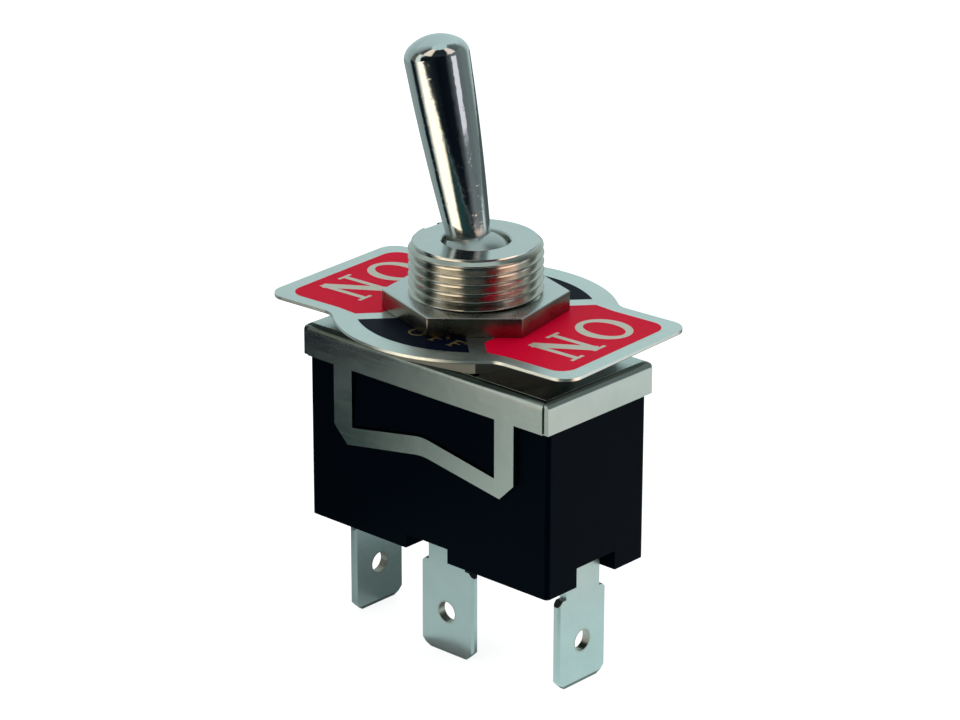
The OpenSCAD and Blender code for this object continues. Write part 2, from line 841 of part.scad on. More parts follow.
// Outline of a terminal's neck and tab, with its hole, up to a height
module tab_outline(top_z) {
    half = tab_w / 2;
    difference() {
        union() {
            polygon([
                [-half + tab_chamfer, tab_end_z], [half - tab_chamfer, tab_end_z],
                [half, tab_end_z + tab_chamfer], [half, shoulder_z - shoulder_chamfer],
                [half - shoulder_chamfer, shoulder_z], [-half + shoulder_chamfer, shoulder_z],
                [-half, shoulder_z - shoulder_chamfer], [-half, tab_end_z + tab_chamfer]
            ]);
            translate([-neck_w / 2, shoulder_z - eps])
                square([neck_w, top_z - shoulder_z + eps]);
        }
        translate([0, tab_end_z + tab_hole_up]) circle(d = tab_hole_d);
    }
}

// Section across a tab: a strip with bevelled edges
module tab_section() {
    a = tab_w / 2;
    b = tab_t / 2;
    c = tab_bevel;
    polygon([
        [-a + c, -b], [a - c, -b], [a, -b + c], [a, b - c],
        [a - c, b], [-a + c, b], [-a, b - c], [-a, -b + c]
    ]);
}

// Quick-connect blade in the XZ plane, pointed at its lower end
module blade(top_z) {
    b = tab_t / 2;
    c = tab_bevel;
    intersection() {
        upright_xz(tab_t) tab_outline(top_z);
        translate([0, 0, tab_end_z])
            linear_extrude(top_z - tab_end_z) tab_section();
        upright_yz(tab_w)
            polygon([
                [-b, top_z], [-b, tab_end_z + 2 * c], [-b + c, tab_end_z],
                [b - c, tab_end_z], [b, tab_end_z + 2 * c], [b, top_z]
            ]);
    }
}

module outer_terminal() {
    color([0.78, 0.80, 0.78])
    difference() {
        union() {
            translate([outer_x, 0, 0])
                rotate([0, 0, 90]) blade(floor_top - bend_r);
            translate([outer_bend_x, 0, floor_top - bend_r])
                upright_xz(neck_w) elbow(tab_t, eps, shelf_l);
        }
        translate([closed_x, 0, floor_top - eps])
            cylinder(d = shank_d, h = tab_t + 2 * eps);
    }
}

module terminal_right() {
    outer_terminal();
}

module terminal_left() {
    mirror([1, 0, 0]) outer_terminal();
}

module terminal_common() {
    shelf_z = floor_top - tab_t;
    color([0.78, 0.80, 0.78])
    difference() {
        union() {
            translate([0, -common_y, 0])
                blade(shelf_z - bend_r);
            translate([0, -common_y + tab_t / 2 + bend_r, shelf_z - bend_r])
                upright_yz(neck_w)
                    mirror([1, 0]) elbow(tab_t, eps, common_shelf_l);
            translate([0, common_shelf_y, shelf_z + tab_t / 2])
                cube([saddle_w, common_shelf_l, tab_t], center = true);
        }
        translate([0, 0, shelf_z - eps])
            cylinder(d = shank_d, h = tab_t + 2 * eps);
    }
}

// U-shaped carrier with a notch in each ear for the rocker's lugs
module saddle() {
    ear_h = rocker_pivot_z + ear_top - saddle_foot;
    notch_r = norm([lug_w, rocker_t]) / 2 + running_fit;
    color([0.76, 0.58, 0.30])
    difference() {
        union() {
            translate([0, 0, saddle_foot + tab_t / 2])
                cube([saddle_w, 2 * ear_out, tab_t], center = true);
            for (y = [-1, 1])
                translate([0, y * (ear_in + ear_out) / 2, saddle_foot + ear_h / 2])
                    cube([saddle_w, tab_t, ear_h], center = true);
        }
        translate([0, 0, rocker_pivot_z])
            rotate([90, 0, 0])
                cylinder(r = notch_r, h = 4 * ear_out, center = true);
        translate([0, 0, rocker_pivot_z + ear_top / 2 + eps])
            cube([2 * notch_r, 4 * ear_out, ear_top + 2 * eps], center = true);
        translate([0, 0, saddle_foot - eps])
            cylinder(d = shank_d, h = tab_t + 2 * eps);
    }
}

module saddle_rivet() {
    color([0.80, 0.74, 0.55])
    translate([0, 0, saddle_foot - tab_t])
        rivet(2 * tab_t, rivet_head_d, rivet_head_h);
}

housing();
insulator();
frame();
bushing();
back_nut();
lock_washer();
legend_plate();
front_nut();
lever();
lever_pin();
plunger();
plunger_spring();
rocker();
moving_contact_left();
moving_contact_right();
saddle();
saddle_rivet();
terminal_common();
terminal_left();
terminal_right();
fixed_contact_left();
fixed_contact_right();
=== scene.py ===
from math import cos, pi, radians, sin, sqrt

import bmesh
import bpy
from mathutils import Euler, Matrix, Vector


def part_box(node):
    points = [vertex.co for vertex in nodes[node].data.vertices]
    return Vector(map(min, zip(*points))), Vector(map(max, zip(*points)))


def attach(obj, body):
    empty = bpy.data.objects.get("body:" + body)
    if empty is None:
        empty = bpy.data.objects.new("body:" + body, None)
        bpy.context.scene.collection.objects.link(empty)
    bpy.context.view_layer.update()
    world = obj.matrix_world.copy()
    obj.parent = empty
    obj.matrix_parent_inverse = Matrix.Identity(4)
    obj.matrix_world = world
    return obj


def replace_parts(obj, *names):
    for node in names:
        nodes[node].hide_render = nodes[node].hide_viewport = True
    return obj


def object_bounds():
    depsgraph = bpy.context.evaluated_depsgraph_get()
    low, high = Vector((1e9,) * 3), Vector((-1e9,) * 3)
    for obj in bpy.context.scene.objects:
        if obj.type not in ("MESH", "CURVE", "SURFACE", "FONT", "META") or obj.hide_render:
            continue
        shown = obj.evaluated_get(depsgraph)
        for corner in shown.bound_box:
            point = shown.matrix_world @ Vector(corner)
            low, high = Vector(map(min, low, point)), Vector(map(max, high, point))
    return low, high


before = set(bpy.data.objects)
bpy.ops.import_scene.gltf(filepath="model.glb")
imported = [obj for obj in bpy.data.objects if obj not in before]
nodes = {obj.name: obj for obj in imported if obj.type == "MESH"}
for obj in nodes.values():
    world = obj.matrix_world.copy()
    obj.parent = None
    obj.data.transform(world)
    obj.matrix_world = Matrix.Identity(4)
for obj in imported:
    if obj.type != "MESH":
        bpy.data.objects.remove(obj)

# The looks of a panel toggle switch: a studio, a finish for every node of the frame, and the pieces that
# the solids keep plain, which are the thread, the front nut's soft edges and the printed legend.

MM = 0.001
LEVER_PIVOT_Z, LEVER_LEAN = 6.1 * MM, radians(13.64)
PLATE_TURN = radians(3)
FIELD_R, FIELD_ANGLE, INK_T = 10.6, radians(45.5), 0.012
OUTER_TAB_X, COMMON_TAB_Y, TAB_HOLE_UP = 12.35 * MM, 3.4 * MM, 4.1 * MM

scene = bpy.context.scene
cad_low, cad_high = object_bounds()


def put(bm, name, material=None):
    """Turns a bmesh into an object of the scene, and frees it."""
    mesh = bpy.data.meshes.new(name)
    bm.to_mesh(mesh)
    bm.free()
    if material:
        mesh.materials.append(material)
    piece = bpy.data.objects.new(name, mesh)
    scene.collection.objects.link(piece)
    return piece


# ---- Camera and light ----

def make_camera():
    """A long lens over the front right corner, a little above the object."""
    azimuth, elevation, roll = radians(42.28), radians(21.15), radians(0.136)
    data = bpy.data.cameras.new("camera")
    data.sensor_width = 36
    data.lens = 138.57
    data.clip_start, data.clip_end = 0.01, 20
    camera = bpy.data.objects.new("camera", data)
    camera.location = (204.35 * MM, -224.19 * MM, 115.58 * MM)
    aim = Euler((pi / 2 - elevation, 0, azimuth)).to_matrix() @ Matrix.Rotation(roll, 3, "Z")
    camera.rotation_mode = "QUATERNION"
    camera.rotation_quaternion = aim.to_quaternion()
    scene.collection.objects.link(camera)
    scene.camera = camera


def seen_directly(tree):
    """Two shares: 1 for a ray from the camera, a mirror surface or glass, and 1 for the camera's rays alone."""
    path = tree.nodes.new("ShaderNodeLightPath")
    either = tree.nodes.new("ShaderNodeMath")
    either.operation = "MAXIMUM"
    tree.links.new(path.outputs["Is Camera Ray"], either.inputs[0])
    tree.links.new(path.outputs["Is Glossy Ray"], either.inputs[1])
    all_three = tree.nodes.new("ShaderNodeMath")
    all_three.operation = "MAXIMUM"
    tree.links.new(either.outputs[0], all_three.inputs[0])
    tree.links.new(path.outputs["Is Transmission Ray"], all_three.inputs[1])
    return all_three.outputs[0], path.outputs["Is Camera Ray"]


def studio_world():
    """White to the camera, a pale backdrop to mirrors and a soft fill to everything else."""
    world = bpy.data.worlds.new("studio")
    scene.world = world
    world.use_nodes = True
    tree = world.node_tree
    seen, by_camera = seen_directly(tree)
    backdrop = tree.nodes.new("ShaderNodeBackground")
    backdrop.inputs["Color"].default_value = (0.58, 0.74, 0.74, 1)
    white = tree.nodes.new("ShaderNodeBackground")
    white.inputs["Color"].default_value = (1, 1, 1, 1)
    fill = tree.nodes["Background"]
    fill.inputs["Color"].default_value = (0.95, 0.98, 1, 1)
    fill.inputs["Strength"].default_value = 0.42
    far = tree.nodes.new("ShaderNodeMixShader")
    tree.links.new(by_camera, far.inputs[0])
    tree.links.new(backdrop.outputs[0], far.inputs[1])
    tree.links.new(white.outputs[0], far.inputs[2])
    mix = tree.nodes.new("ShaderNodeMixShader")
    tree.links.new(seen, mix.inputs[0])
    tree.links.new(fill.outputs[0], mix.inputs[1])
    tree.links.new(far.outputs[0], mix.inputs[2])
    tree.links.new(mix.outputs[0], tree.nodes["World Output"].inputs[0])


def around(azimuth, distance, height):
    """A place round the object; azimuth 0 is in front of the long side, turning towards +X."""
    a = radians(azimuth)
    return Vector((sin(a) * distance, -cos(a) * distance, height))


def soft_box(name, azimuth, distance, height, width, tall, radiance, colour):
    """A lamp aimed at the origin, which mirror surfaces don't show."""
    data = bpy.data.lights.new(name, "AREA")
    data.shape = "RECTANGLE"
    data.size, data.size_y = width, tall
    data.color = colour
    data.energy = radiance * pi * width * tall
    lamp = bpy.data.objects.new(name, data)
    lamp.location = around(azimuth, distance, height)
    lamp.rotation_mode = "QUATERNION"
    lamp.rotation_quaternion = (-lamp.location).to_track_quat("-Z", "Y")
    lamp.visible_glossy = False
    scene.collection.objects.link(lamp)


def make_lights():
    soft_box("left_soft_box", -8, 0.30, 0.05, 0.16, 0.22, 2.0, (1.0, 0.93, 0.86))
    soft_box("right_soft_box", 104, 0.30, 0.05, 0.11, 0.22, 1.8, (1.0, 0.88, 0.84))
    soft_box("top_soft_box", 200, 0.30, 0.40, 0.40, 0.40, 0.9, (0.95, 1.0, 1.0))


def floor_finish():
    """Pale paint that keeps the object's shadow and glows to the camera."""
    material = bpy.data.materials.new("floor")
    material.use_nodes = True
    tree = material.node_tree
    paint = tree.nodes["Principled BSDF"]
    paint.inputs["Roughness"].default_value = 0.7
    coords = tree.nodes.new("ShaderNodeTexCoord")
    mottle = tree.nodes.new("ShaderNodeTexNoise")
    mottle.inputs["Scale"].default_value = 40
    tree.links.new(coords.outputs["Object"], mottle.inputs["Vector"])
    shade = tree.nodes.new("ShaderNodeMix")
    shade.data_type = "RGBA"
    shade.inputs["A"].default_value = (0.62, 0.64, 0.64, 1)
    shade.inputs["B"].default_value = (0.66, 0.68, 0.68, 1)
    tree.links.new(mottle.outputs[0], shade.inputs["Factor"])
    tree.links.new(shade.outputs["Result"], paint.inputs["Base Color"])
    path = tree.nodes.new("ShaderNodeLightPath")
    glow = tree.nodes.new("ShaderNodeEmission")
    share = tree.nodes.new("ShaderNodeMath")
    share.operation = "MULTIPLY"
    share.inputs[1].default_value = 0.8
    tree.links.new(path.outputs["Is Camera Ray"], share.inputs[0])
    tree.links.new(share.outputs[0], glow.inputs["Strength"])
    both = tree.nodes.new("ShaderNodeAddShader")
    tree.links.new(paint.outputs[0], both.inputs[0])
    tree.links.new(glow.outputs[0], both.inputs[1])
    tree.links.new(both.outputs[0], tree.nodes["Material Output"].inputs[0])
    return material


def make_floor():
    bm = bmesh.new()
    bmesh.ops.create_grid(bm, x_segments=1, y_segments=1, size=3)
    bmesh.ops.translate(bm, verts=bm.verts, vec=(0, 0, cad_low.z))
    put(bm, "floor", floor_finish())


def card_finish(name, stops):
    """Light that changes with the azimuth; stops run from -90 to 270 degrees."""
    material = bpy.data.materials.new(name)
    material.use_nodes = True
    tree = material.node_tree
    coords = tree.nodes.new("ShaderNodeTexCoord")
    turn = tree.nodes.new("ShaderNodeTexGradient")
    turn.gradient_type = "RADIAL"
    tree.links.new(coords.outputs["Object"], turn.inputs["Vector"])
    ramp = tree.nodes.new("ShaderNodeValToRGB")
    elements = ramp.color_ramp.elements
    elements[0].color = stops[0][1] + (1,)
    elements[-1].color = stops[-1][1] + (1,)
    for azimuth, colour in stops[1:-1]:
        elements.new((azimuth + 90) / 360).color = colour + (1,)
    tree.links.new(turn.outputs["Fac"], ramp.inputs["Fac"])
    glow = tree.nodes.new("ShaderNodeEmission")
    tree.links.new(ramp.outputs["Color"], glow.inputs["Color"])
    tree.links.new(glow.outputs[0], tree.nodes["Material Output"].inputs[0])
    return material


def card(name, start, end, profile, stops):
    """A studio card that only shiny surfaces see: a profile of (distance, height) swept round the object."""
    bm = bmesh.new()
    foot = cad_low.z + 0.4 * MM
    first = around(start, 1, 0)
    column = [bm.verts.new((first.x * r, first.y * r, foot + h)) for r, h in profile]
    edges = [bm.edges.new(pair) for pair in zip(column, column[1:])]
    bmesh.ops.spin(bm, geom=column + edges, cent=(0, 0, 0), axis=(0, 0, 1), dvec=(0, 0, 0),
                   angle=radians(end - start), steps=72, use_merge=False)
    piece = put(bm, name, card_finish(name, stops))
    piece.visible_camera = piece.visible_diffuse = piece.visible_shadow = False
    piece.visible_transmission = piece.visible_volume_scatter = False


def make_cards():
    """Rings of cards round the object, each with its light by azimuth and its profile."""
    wall = ((-90, (0.42, 0.52, 0.52)), (-64, (0.34, 0.42, 0.41)), (-55, (0.12, 0.135, 0.11)),
            (-42, (0.10, 0.11, 0.08)), (-36, (0.80, 0.85, 0.80)), (-25, (0.98, 0.97, 0.92)),
            (-17, (0.42, 0.44, 0.44)), (-9, (0.020, 0.030, 0.034)), (40, (0.003, 0.005, 0.008)),
            (70, (0.005, 0.008, 0.012)), (84, (0.07, 0.08, 0.085)), (96, (0.17, 0.19, 0.20)),
            (110, (0.17, 0.19, 0.20)), (120, (0.15, 0.18, 0.18)), (165, (0.19, 0.24, 0.23)),
            (182, (0.5, 0.6, 0.59)), (205, (0.58, 0.74, 0.74)), (270, (0.42, 0.52, 0.52)))
    ground = ((-90, (0.30, 0.37, 0.36)), (-64, (0.28, 0.34, 0.33)), (-56, (0.004, 0.010, 0.016)),
              (-45, (0.006, 0.014, 0.02)), (-40, (0.06, 0.08, 0.08)), (-35, (0.45, 0.47, 0.43)),
              (-22, (2.0, 1.72, 1.36)), (10, (2.0, 1.66, 1.22)), (20, (0.02, 0.06, 0.06)),
              (80, (0.02, 0.03, 0.03)), (88, (2.1, 1.4, 1.08)), (116, (2.1, 1.62, 1.42)),
              (125, (0.82, 0.88, 0.86)), (140, (0.82, 0.88, 0.86)), (158, (0.10, 0.13, 0.13)),
              (200, (0.08, 0.10, 0.10)), (230, (0.30, 0.37, 0.36)), (270, (0.30, 0.37, 0.36)))
    middle = ((-90, (0.30, 0.37, 0.36)), (-62, (0.06, 0.09, 0.09)), (-45, (0.020, 0.040, 0.040)),
              (-38, (0.24, 0.28, 0.26)), (-28, (0.50, 0.56, 0.53)), (10, (0.50, 0.54, 0.50)),
              (24, (0.20, 0.22, 0.21)), (80, (0.20, 0.22, 0.21)), (110, (0.82, 0.80, 0.76)),
              (150, (0.80, 0.86, 0.84)), (200, (0.2, 0.25, 0.25)), (270, (0.30, 0.37, 0.36)))
    near = ((-90, (0.30, 0.36, 0.36)), (-60, (0.60, 0.72, 0.72)), (10, (0.60, 0.72, 0.72)),
            (90, (0.70, 0.86, 0.86)), (160, (0.70, 0.86, 0.86)), (195, (0.16, 0.22, 0.22)),
            (270, (0.18, 0.24, 0.24)))
    pink = ((-90, (0.95, 0.90, 0.97)), (270, (0.95, 0.90, 0.97)))
    dusk = ((-90, (0.006, 0.010, 0.014)), (270, (0.006, 0.010, 0.014)))
    shade = ((-90, (0.008, 0.016, 0.020)), (270, (0.008, 0.016, 0.020)))
    upper = ((-90, (0.50, 0.62, 0.62)), (-60, (0.30, 0.36, 0.35)), (-36, (0.05, 0.06, 0.06)),
             (-26, (0.08, 0.08, 0.07)), (-20, (1.1, 0.96, 0.80)), (12, (1.1, 0.92, 0.74)),
             (20, (0.02, 0.025, 0.03)), (80, (0.02, 0.025, 0.03)), (87, (1.1, 0.84, 0.72)),
             (114, (1.1, 0.94, 0.88)), (124, (0.10, 0.12, 0.12)), (165, (0.15, 0.19, 0.19)),
             (186, (0.58, 0.74, 0.74)), (270, (0.50, 0.62, 0.62)))
    card("wall_card", 0, 360, [(0.170, 0.020), (0.170, 0.16)], wall)
    card("upper_card", 0, 360, [(0.171, 0.161), (0.16, 0.20), (0.13, 0.27), (0.09, 0.32)], upper)
    card("ground_card", 0, 360, [(0.076, 0), (0.140, 0), (0.162, 0.006), (0.170, 0.019)], ground)
    card("middle_card", 0, 360, [(0.030, 0), (0.074, 0)], middle)
    card("near_card", 0, 360, [(0.0055, 0), (0.0295, 0)], near)
    card("pink_card", 93, 113, [(0.160, 0.046), (0.160, 0.11)], pink)
    card("dusk_card", -20, 20, [(0.160, 0.050), (0.160, 0.12)], dusk)
    card("shade_card", -62, -38, [(0.1675, 0.018), (0.1675, 0.048)], shade)


# ---- Finishes ----

class Finish:
    """A node material under construction, patterned in the piece's own coordinates."""

    def __init__(self, name, metallic=0.0, roughness=None, **sockets):
        self.material = bpy.data.materials.new(name)
        self.material.use_nodes = True
        self.tree = self.material.node_tree
        self.shader = self.tree.nodes["Principled BSDF"]
        self.shader.inputs["Metallic"].default_value = metallic
        if roughness is not None:
            self.shader.inputs["Roughness"].default_value = roughness
        for socket, value in sockets.items():
            self.shader.inputs[socket.replace("_", " ")].default_value = value

    def node(self, kind, **settings):
        made = self.tree.nodes.new("ShaderNode" + kind)
        for name, value in settings.items():
            setattr(made, name, value)
        return made

    def join(self, source, target):
        self.tree.links.new(source, target)
        return source

    def place(self, centre=(0, 0, 0), turn=(0, 0, 0), scale=(1, 1, 1)):
        """The piece's coordinates measured from a centre, turned and stretched."""
        coords = self.node("TexCoord")
        mapping = self.node("Mapping", vector_type="TEXTURE")
        mapping.inputs["Location"].default_value = centre
        mapping.inputs["Rotation"].default_value = turn
        mapping.inputs["Scale"].default_value = scale
        self.join(coords.outputs["Object"], mapping.inputs["Vector"])
        return mapping.outputs["Vector"]

    def noise(self, where, size, detail=3.0, rough=0.5):
        """Soft noise whose lumps are about size metres across."""
        made = self.node("TexNoise")
        made.inputs["Scale"].default_value = 1 / size
        made.inputs["Detail"].default_value = detail
        made.inputs["Roughness"].default_value = rough
        self.join(where, made.inputs["Vector"])
        return made.outputs[0]

    def spread(self, value, low, high, to_low=0.0, to_high=1.0):
        made = self.node("MapRange", clamp=True)
        for socket, number in zip(("From Min", "From Max", "To Min", "To Max"), (low, high, to_low, to_high)):
            made.inputs[socket].default_value = number
        self.join(value, made.inputs["Value"])
        return made.outputs[0]

    def calculate(self, kind, first, second):
        made = self.node("Math", operation=kind)
        for socket, value in zip(made.inputs, (first, second)):
            if isinstance(value, (int, float)):
                socket.default_value = value
            else:
                self.join(value, socket)
        return made.outputs[0]

    def blend(self, share, first, second):
        """A colour between two, each a colour or a socket."""
        made = self.node("Mix", data_type="RGBA")
        self.join(share, made.inputs["Factor"])
        for name, value in (("A", first), ("B", second)):
            if isinstance(value, tuple):
                made.inputs[name].default_value = value + (1,)
            else:
                self.join(value, made.inputs[name])
        return made.outputs["Result"]

    def above(self, level, soft=0.05 * MM):
        """0 under a level of the object's own Z and 1 over it."""
        parts = self.node("SeparateXYZ")
        self.join(self.place(), parts.inputs[0])
        return self.spread(parts.outputs["Z"], level - soft, level + soft)

    def distance(self, where, axes):
        """How far a place is from the centre, along the axes whose share is 1."""
        kept = self.node("VectorMath", operation="MULTIPLY")
        self.join(where, kept.inputs[0])
        kept.inputs[1].default_value = axes
        length = self.node("VectorMath", operation="LENGTH")
        self.join(kept.outputs["Vector"], length.inputs[0])
        return length.outputs["Value"]

    def colour(self, value):
        self.join(value, self.shader.inputs["Base Color"])

    def rough(self, value):
        self.join(value, self.shader.inputs["Roughness"])

    def relief(self, *layers):
        """Bump layers, each (height, depth in metres), one over the other."""
        normal = None
        for height, depth in layers:
            bump = self.node("Bump")
            bump.inputs["Distance"].default_value = depth
            self.join(height, bump.inputs["Height"])
            if normal is not None:
                self.join(normal, bump.inputs["Normal"])
            normal = bump.outputs["Normal"]
        self.join(normal, self.shader.inputs["Normal"])


def phenolic():
    made = Finish("phenolic_black", Specular_IOR_Level=0.035, Specular_Tint=(0.1, 0.5, 1.0, 1))
    where = made.place()
    cloud = made.noise(where, 9 * MM, 4)
    fine = made.noise(where, 0.35 * MM, 5, 0.65)
    made.colour(made.blend(cloud, (0.0001, 0.0008, 0.0026), (0.0003, 0.0020, 0.0050)))
    made.rough(made.spread(fine, 0.3, 0.7, 0.34, 0.46))
    made.relief((fine, 0.008 * MM), (cloud, 0.03 * MM))
    return made.material


def fibre_sheet():
    made = Finish("fibre_sheet", roughness=0.75)
    where = made.place()
    strands = made.noise(made.place(scale=(6, 1, 1)), 0.3 * MM, 4)
    made.colour(made.blend(strands, (0.10, 0.045, 0.025), (0.19, 0.09, 0.05)))
    made.relief((strands, 0.02 * MM), (made.noise(where, 2 * MM), 0.02 * MM))
    return made.material


def nickel_sheet():
    made = Finish("nickel_sheet", metallic=1.0)
    where = made.place()
    rolled = made.noise(made.place(scale=(18, 1, 1)), 0.16 * MM, 3)
    cloud = made.noise(where, 3 * MM, 5, 0.6)
    made.colour(made.blend(cloud, (0.48, 0.54, 0.51), (0.60, 0.65, 0.62)))
    made.rough(made.spread(rolled, 0.25, 0.75, 0.13, 0.21))
    made.relief((rolled, 0.0008 * MM), (cloud, 0.015 * MM))
    return made.material


def turned_nickel(name, dark, bright, face, lit_face_level, rough):
    """Nickel over brass, with fine rings from the lathe round the Z axis, darker sides and a paler upper face:
    painted shade and reflection on the sides, painted light on the face.
    """
    lathe = 0.12 * MM
    made = Finish(name, metallic=1.0)
    where = made.place()
    ring = made.node("TexNoise", noise_dimensions="1D")
    ring.inputs["Scale"].default_value = 1 / lathe
    made.join(made.distance(where, (1, 1, 0)), ring.inputs["W"])
    cloud = made.noise(where, 1.6 * MM, 4, 0.6)
    # Sides in the darker pair of colours, the upper face in the paler one: painted shade and painted light.
    shaded_sides = made.blend(cloud, dark, bright)
    top = made.blend(cloud, tuple(0.92 * c for c in face), tuple(min(1.05 * c, 1) for c in face))
    made.colour(made.blend(made.above(lit_face_level), shaded_sides, top))
    made.rough(made.spread(cloud, 0.3, 0.7, rough, rough + 0.1))
    made.relief((ring.outputs[0], 0.004 * MM), (cloud, 0.01 * MM))
    return made.material


def spring_washer():
    made = Finish("washer_steel", metallic=1.0)
    cloud = made.noise(made.place(), 0.9 * MM, 5, 0.6)
    # Near-black steel: painted shade for the washer's place under the plate.
    made.colour(made.blend(cloud, (0.10, 0.11, 0.10), (0.18, 0.19, 0.18)))
    made.rough(made.spread(cloud, 0.3, 0.7, 0.3, 0.45))
    made.relief((cloud, 0.01 * MM))
    return made.material


def plate_aluminium():
    made = Finish("plate_aluminium", metallic=1.0)
    grain = made.noise(made.place(scale=(24, 1, 1), turn=(0, 0, radians(3.5))), 0.14 * MM, 3)
    cloud = made.noise(made.place(), 4 * MM, 3)
    satin = made.blend(cloud, (0.69, 0.76, 0.735), (0.79, 0.84, 0.81))
    # The plate's underside, below 2.74 mm, is near black: painted shade.
    made.colour(made.blend(made.above(2.74 * MM, 0.02 * MM), (0.10, 0.11, 0.10), satin))
    made.rough(made.spread(grain, 0.25, 0.75, 0.26, 0.42))
    made.relief((grain, 0.002 * MM))
    return made.material


def ink(name, dark, light):
    made = Finish(name, Specular_IOR_Level=0.03)
    cloud = made.noise(made.place(), 2.2 * MM, 4)
    fine = made.noise(made.place(), 0.12 * MM, 3, 0.7)
    made.colour(made.blend(cloud, dark, light))
    made.rough(made.spread(fine, 0.3, 0.7, 0.36, 0.5))
    made.relief((fine, 0.003 * MM))
    return made.material


def letter_metal(name, dark, light):
    made = Finish(name, metallic=0.35)
    cloud = made.noise(made.place(), 0.7 * MM, 3)
    made.colour(made.blend(cloud, dark, light))
    made.rough(made.spread(cloud, 0.3, 0.7, 0.32, 0.45))
    made.relief((cloud, 0.003 * MM))
    return made.material


def lever_chrome():
    made = Finish("lever_chrome", metallic=1.0)
    along = made.place(centre=(0, 0, LEVER_PIVOT_Z), turn=(0, -LEVER_LEAN, 0), scale=(1, 1, 14))
    draw = made.noise(along, 0.25 * MM, 3)
    cloud = made.noise(made.place(), 2.4 * MM, 5, 0.6)
    pits = made.noise(made.place(), 0.4 * MM, 2)
    # Below 10.4 mm the ball and neck in the bushing are darker, which is painted shade, and rougher.
    bat_over_shaded_ball = made.above(10.4 * MM, 0.5 * MM)
    made.colour(made.blend(bat_over_shaded_ball, (0.50, 0.53, 0.52), made.blend(cloud, (0.60, 0.66, 0.66), (0.74, 0.78, 0.78))))
    made.rough(made.calculate("ADD", made.spread(cloud, 0.35, 0.7, 0.05, 0.11), made.spread(bat_over_shaded_ball, 0, 1, 0.22, 0.0)))
    made.relief((draw, 0.0015 * MM), (made.spread(pits, 0.62, 0.75), 0.004 * MM), (cloud, 0.01 * MM))
    return made.material


def pin_steel():
    made = Finish("pin_steel", metallic=1.0)
    rings = made.noise(made.place(scale=(8, 1, 8)), 0.1 * MM)
    made.colour(made.blend(rings, (0.45, 0.46, 0.48), (0.58, 0.59, 0.60)))
    made.rough(made.spread(rings, 0.3, 0.7, 0.2, 0.32))
    return made.material


def nylon():
    made = Finish("nylon", Subsurface_Weight=0.1)
    cloud = made.noise(made.place(), 0.8 * MM, 4)
    made.colour(made.blend(cloud, (0.66, 0.62, 0.52), (0.76, 0.72, 0.62)))
    made.rough(made.spread(cloud, 0.3, 0.7, 0.4, 0.52))
    made.relief((cloud, 0.006 * MM))
    return made.material


def spring_wire():
    made = Finish("spring_wire", metallic=1.0)
    drawn = made.noise(made.place(), 0.08 * MM, 3)
    made.colour(made.blend(drawn, (0.40, 0.42, 0.44), (0.58, 0.60, 0.62)))
    made.rough(made.spread(drawn, 0.3, 0.7, 0.25, 0.38))
    return made.material


def contact_brass(name, dark, light):
    made = Finish(name, metallic=1.0)
    rolled = made.noise(made.place(scale=(10, 1, 1)), 0.15 * MM, 3)
    cloud = made.noise(made.place(), 1.8 * MM, 4)
    made.colour(made.blend(cloud, dark, light))
    made.rough(made.spread(rolled, 0.3, 0.7, 0.24, 0.36))
    made.relief((rolled, 0.003 * MM))
    return made.material


def contact_silver():
    made = Finish("contact_silver", metallic=1.0)
    cloud = made.noise(made.place(), 0.5 * MM, 4)
    made.colour(made.blend(cloud, (0.66, 0.65, 0.62), (0.82, 0.81, 0.78)))
    made.rough(made.spread(cloud, 0.3, 0.7, 0.22, 0.4))
    made.relief((cloud, 0.004 * MM))
    return made.material


def tinned_brass(name, hole, sideways, painted_shade_scale=1.0):
    """Tin over brass, with brass showing brown round the hole. Sideways names the axes across the hole. The tin's
    colours are scaled down for a tab that stands in shadow: painted shade.
    """
    made = Finish(name, metallic=1.0)
    from_hole = made.distance(made.place(centre=hole), sideways)
    cloud = made.noise(made.place(), 2.5 * MM, 4)
    fine = made.noise(made.place(), 0.2 * MM, 4, 0.65)
    worn = made.calculate("ADD", from_hole, made.spread(fine, 0.3, 0.7, -0.1 * MM, 0.1 * MM))
    edge = made.spread(worn, 0.98 * MM, 1.2 * MM, 0.5, 0.0)
    dark, light = [tuple(painted_shade_scale * c for c in tone) for tone in ((0.50, 0.60, 0.59), (0.60, 0.70, 0.68))]
    made.colour(made.blend(edge, made.blend(cloud, dark, light), (0.36, 0.26, 0.16)))
    made.rough(made.spread(fine, 0.3, 0.7, 0.26, 0.4))
    made.relief((fine, 0.003 * MM), (cloud, 0.02 * MM))
    return made.material


# ---- Pieces ----

def settle(bm, name, material, sharp=32):
    """Ends a bmesh as a piece: normals outwards, smooth across soft edges, riding on the switch's body."""
    bmesh.ops.recalc_face_normals(bm, faces=bm.faces)
    for face in bm.faces:
        face.smooth = True
    for edge in bm.edges:
        if len(edge.link_faces) != 2 or edge.calc_face_angle() > radians(sharp):
            edge.smooth = False
    piece = put(bm, name, material)
    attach(piece, "switch_body")
    return piece


def block(size, centre):
    bm = bmesh.new()
    bmesh.ops.create_cube(bm, size=1)
    bmesh.ops.scale(bm, verts=bm.verts, vec=size)
    bmesh.ops.translate(bm, verts=bm.verts, vec=centre)
    return bm


